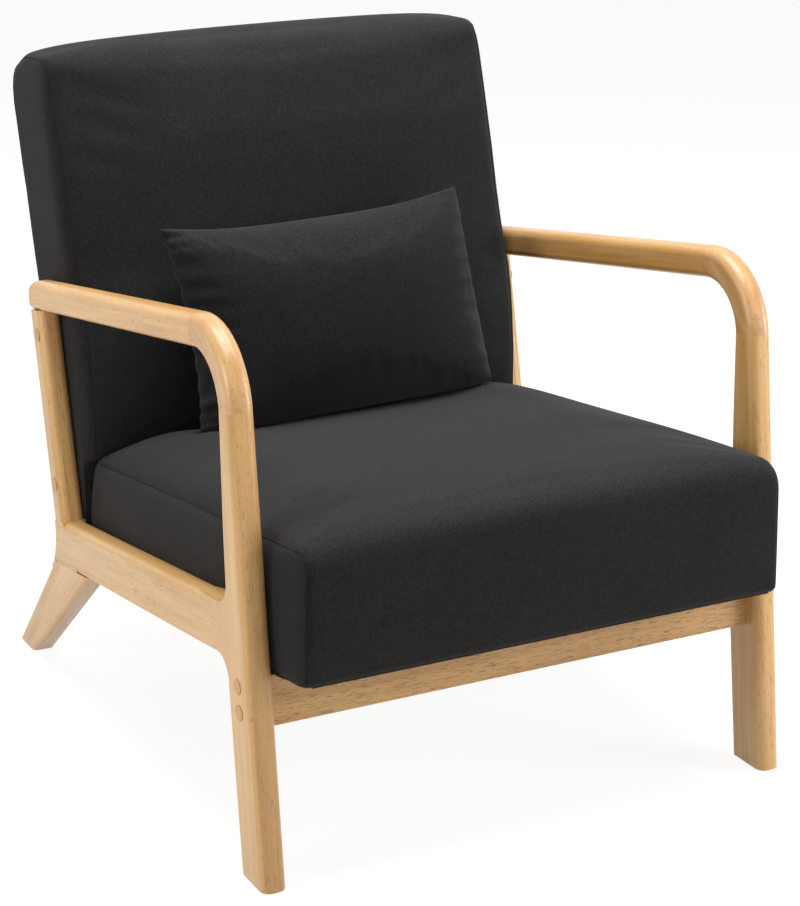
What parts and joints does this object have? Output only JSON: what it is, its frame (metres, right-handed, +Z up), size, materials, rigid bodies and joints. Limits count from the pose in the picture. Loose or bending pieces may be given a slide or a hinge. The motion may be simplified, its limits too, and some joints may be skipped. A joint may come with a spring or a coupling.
{
  "type": "wood_frame_lounge_armchair",
  "caption": "Wood-frame lounge armchair with rounded elbow arms, boxed charcoal seat and back cushions and a loose lumbar pillow",
  "frame": {"origin": "centre of the chair's overall width and depth, at the floor under the foot glides", "axes": "+Z up; the chair faces -Y; +X is to the right as seen from the front"},
  "size_m": [0.6466, 0.807, 0.7722],
  "materials": {
    "lacquered_rubberwood": "clear satin lacquer",
    "plug_wood": "clear satin lacquer, end grain",
    "inner_softwood": "sawn, unfinished",
    "upholstery_fabric": "fine woven polyester, charcoal black",
    "foam": "open-cell polyurethane foam",
    "dust_cloth": "thin non-woven",
    "webbing": "elastic jute-look webbing",
    "plated_steel": "zinc plated",
    "spring_steel": "bare, oiled",
    "clip_plastic": "moulded nylon",
    "glide_plastic": "moulded"
  },
  "bodies": {
    "chair": {"left_front_leg": "lacquered_rubberwood", "right_front_leg": "lacquered_rubberwood", "left_elbow": "lacquered_rubberwood", "right_elbow": "lacquered_rubberwood", "left_armrest": "lacquered_rubberwood", "right_armrest": "lacquered_rubberwood", "left_rear_post": "lacquered_rubberwood", "right_rear_post": "lacquered_rubberwood", "left_side_rail": "lacquered_rubberwood", "right_side_rail": "lacquered_rubberwood", "left_rear_leg": "lacquered_rubberwood", "right_rear_leg": "lacquered_rubberwood", "left_frame_dowels": "inner_softwood", "right_frame_dowels": "inner_softwood", "front_rail": "lacquered_rubberwood", "front_rail_bolts": "plated_steel", "front_rail_nuts": "plated_steel", "back_bolts": "plated_steel", "back_insert_nuts": "plated_steel", "bolt_plugs": "plug_wood", "foot_glides": "glide_plastic", "seat_front_bar": "inner_softwood", "seat_rear_bar": "inner_softwood", "seat_left_bar": "inner_softwood", "seat_right_bar": "inner_softwood", "seat_corner_blocks": "inner_softwood", "seat_springs": "spring_steel", "spring_clips": "clip_plastic", "seat_foam": "foam", "seat_cover": "upholstery_fabric", "seat_dust_cover": "dust_cloth", "seat_brackets": "plated_steel", "bracket_screws": "plated_steel", "seat_back_bolts": "plated_steel", "back_left_board": "inner_softwood", "back_right_board": "inner_softwood", "back_top_bar": "inner_softwood", "back_bottom_bar": "inner_softwood", "back_webbing": "webbing", "back_foam": "foam", "back_cover": "upholstery_fabric", "back_rear_panel": "upholstery_fabric"},
    "pillow": {"pillow_filling": "foam", "pillow_cover": "upholstery_fabric"}
  },
  "joints": [
    {"name": "pillow_lift", "type": "slide", "parent": "chair", "child": "pillow", "axis": [0, 0, 1], "range_m": [0, 0.4]}
  ]
}
